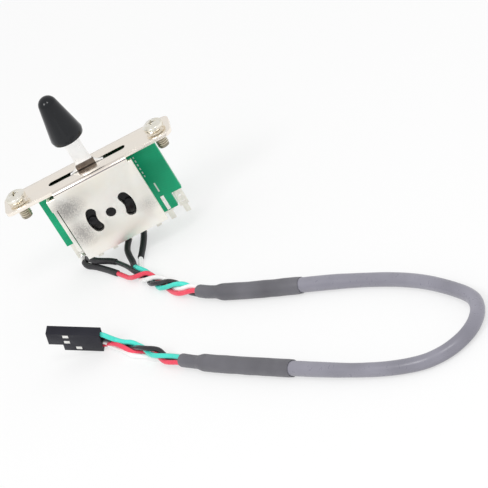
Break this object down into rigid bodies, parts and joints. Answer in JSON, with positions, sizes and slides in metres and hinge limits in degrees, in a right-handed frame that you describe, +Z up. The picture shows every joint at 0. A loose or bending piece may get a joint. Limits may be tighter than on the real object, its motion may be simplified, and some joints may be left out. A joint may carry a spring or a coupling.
{
  "type": "guitar pickup selector switch",
  "caption": "Closed lever selector switch on a circuit board, with a bent steel frame, a cone tip on its lever and a sleeved cable that ends in a crimp plug.",
  "frame": {"origin": "middle of the lever slot on the flange's top face", "axes": "+Z up along the lever, +X along the flange and the lever's travel, -Y towards the front plate"},
  "size_m": [0.1083, 0.1239, 0.0533],
  "materials": {
    "nickel_steel": "bright nickel plate",
    "board_green": "green solder mask",
    "tin": "tinned",
    "lug_plate": "pale plated brass",
    "black_moulding": "moulded black",
    "tip_black": "polished black",
    "spring_steel": "bright",
    "sleeve_black": "heat-shrunk",
    "sleeve_grey": "heat-shrunk",
    "cable_grey": "smooth jacket",
    "wire_red": "smooth insulation",
    "wire_black": "smooth insulation",
    "wire_mint": "smooth insulation",
    "wire_white": "smooth insulation",
    "plug_black": "moulded"
  },
  "bodies": {
    "switch_frame": {"cable": "cable_grey", "circuit_board": "board_green", "contact_tracks": "lug_plate", "detent_plate": "spring_steel", "frame": "nickel_steel", "lead_black": "wire_black", "lead_mint": "wire_mint", "lead_red": "wire_red", "lead_white": "wire_white", "lug_sleeve_black": "sleeve_black", "lug_sleeve_mint": "sleeve_black", "lug_sleeve_red": "sleeve_black", "lug_sleeve_white": "sleeve_black", "mounting_screw_left": "nickel_steel", "mounting_screw_right": "nickel_steel", "plug_housing": "plug_black", "plug_lead_black": "wire_black", "plug_lead_mint": "wire_mint", "plug_lead_red": "wire_red", "plug_lead_white": "wire_white", "plug_terminal_1": "tin", "plug_terminal_2": "tin", "plug_terminal_3": "tin", "shrink_sleeve_lower": "sleeve_grey", "shrink_sleeve_upper": "sleeve_grey", "solder_joints": "tin", "solder_lug_1": "lug_plate", "solder_lug_2": "lug_plate", "solder_lug_3": "lug_plate", "solder_lug_4": "lug_plate", "solder_lug_5": "lug_plate", "solder_lug_6": "lug_plate", "solder_lug_7": "lug_plate", "solder_lug_8": "lug_plate", "solder_pads": "tin", "twist_lower": "wire_black", "twist_upper": "wire_black"},
    "lever_arm": {"rotor": "black_moulding", "lever": "nickel_steel", "lever_tip": "tip_black", "wiper_left": "spring_steel", "wiper_right": "spring_steel", "detent_ball": "spring_steel", "detent_spring": "spring_steel"}
  },
  "joints": [
    {"name": "lever_swing", "type": "hinge", "parent": "switch_frame", "child": "lever_arm", "pos_m": [0, 0, -0.0126], "axis": [0, 1, 0], "range_deg": [-26, 26]}
  ]
}
